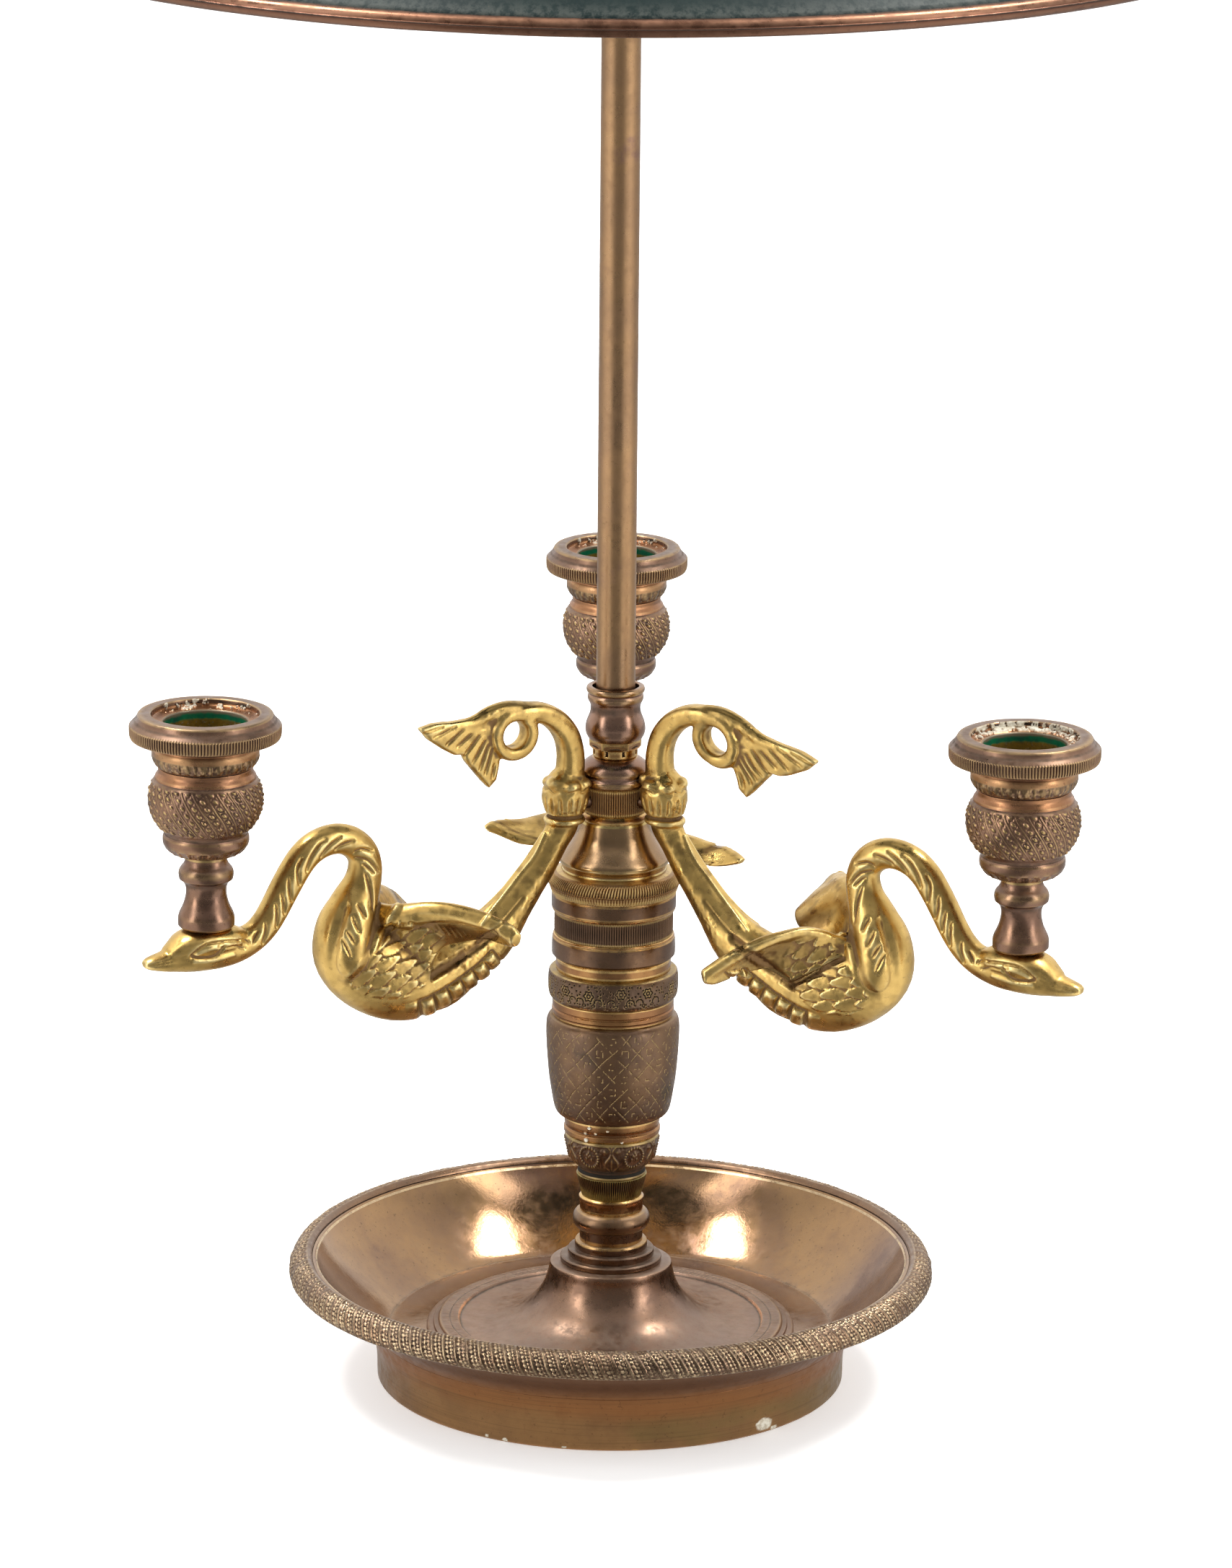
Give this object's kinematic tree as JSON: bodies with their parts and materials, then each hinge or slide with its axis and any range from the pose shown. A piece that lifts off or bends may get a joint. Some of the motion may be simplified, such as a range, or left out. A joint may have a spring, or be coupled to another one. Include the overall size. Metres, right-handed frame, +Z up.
{
  "type": "bouillotte lamp",
  "caption": "Three-candle bouillotte lamp: dished base, turned stem, cast swan arms with candle cups, and a painted metal shade that slides and turns on a central rod",
  "frame": {"origin": "centre of the foot ring's underside, on the table", "axes": "+Z is up along the rod; -Y is the front; one arm points to the back along +Y and the others 30 degrees forward of +X and -X"},
  "size_m": [0.3446, 0.3446, 0.59],
  "materials": {
    "base_bronze": "polished, worn brown-gold",
    "patinated_bronze": "turned, brown patina with bright edges",
    "cast_brass": "cast and hand-finished, dark in the recesses",
    "rod_brass": "drawn tube, tarnished",
    "fixings": "plain steel",
    "shade_paint": "dark green enamel, satin",
    "rim_copper": "copper-brown, smooth",
    "fittings_brass": "turned brass"
  },
  "bodies": {
    "stand": {"foot_ring": "base_bronze", "dish_pan": "base_bronze", "rim_band": "patinated_bronze", "dome_foot": "base_bronze", "stepped_collar": "patinated_bronze", "torus_ring": "patinated_bronze", "lower_knurled_ring": "patinated_bronze", "lower_bulb": "patinated_bronze", "vase_body": "patinated_bronze", "neck_rings": "patinated_bronze", "floral_band": "patinated_bronze", "lower_collar": "patinated_bronze", "knurled_band": "patinated_bronze", "upper_collar": "patinated_bronze", "rope_ring": "patinated_bronze", "bell_cap": "patinated_bronze", "arm_hub": "cast_brass", "hub_cap": "patinated_bronze", "lock_nut": "patinated_bronze", "rod_socket": "patinated_bronze", "tie_rod": "fixings", "rod_plug": "fixings", "bottom_washer": "fixings", "bottom_nut": "fixings", "rod_tube": "rod_brass", "swan_arm_left": "cast_brass", "swan_arm_right": "cast_brass", "swan_arm_back": "cast_brass", "arm_pins": "fixings", "cup_studs": "fixings", "candle_stem_left": "patinated_bronze", "candle_stem_right": "patinated_bronze", "candle_stem_back": "patinated_bronze", "candle_cup_left": "patinated_bronze", "candle_cup_right": "patinated_bronze", "candle_cup_back": "patinated_bronze", "finial_collar": "fittings_brass", "finial": "fittings_brass"},
    "carrier": {"clamp_sleeve": "fittings_brass"},
    "key": {"thumb_screw": "fittings_brass"},
    "shade": {"shade_skin": "shade_paint", "shade_rim_lower": "rim_copper", "shade_rim_upper": "rim_copper", "spider_ring": "fittings_brass", "spider_arms": "fittings_brass", "spider_hub": "fittings_brass"},
    "drip_ring_left": {"drip_ring_left": "patinated_bronze"},
    "drip_ring_right": {"drip_ring_right": "patinated_bronze"},
    "drip_ring_back": {"drip_ring_back": "patinated_bronze"}
  },
  "joints": [
    {"name": "shade_lift", "type": "slide", "parent": "stand", "child": "carrier", "axis": [0, 0, 1], "range_m": [-0.2, 0.022]},
    {"name": "shade_swivel", "type": "hinge", "parent": "carrier", "child": "shade", "pos_m": [0, 0, 0.5156], "axis": [0, 0, 1], "continuous": true},
    {"name": "key_turn", "type": "hinge", "parent": "carrier", "child": "key", "pos_m": [0, -0.01, 0.5016], "axis": [0, -1, 0], "range_deg": [0, 270]},
    {"name": "drip_ring_left_lift", "type": "slide", "parent": "stand", "child": "drip_ring_left", "axis": [0, 0, 1], "range_m": [0, 0.012]},
    {"name": "drip_ring_right_lift", "type": "slide", "parent": "stand", "child": "drip_ring_right", "axis": [0, 0, 1], "range_m": [0, 0.012]},
    {"name": "drip_ring_back_lift", "type": "slide", "parent": "stand", "child": "drip_ring_back", "axis": [0, 0, 1], "range_m": [0, 0.012]}
  ]
}
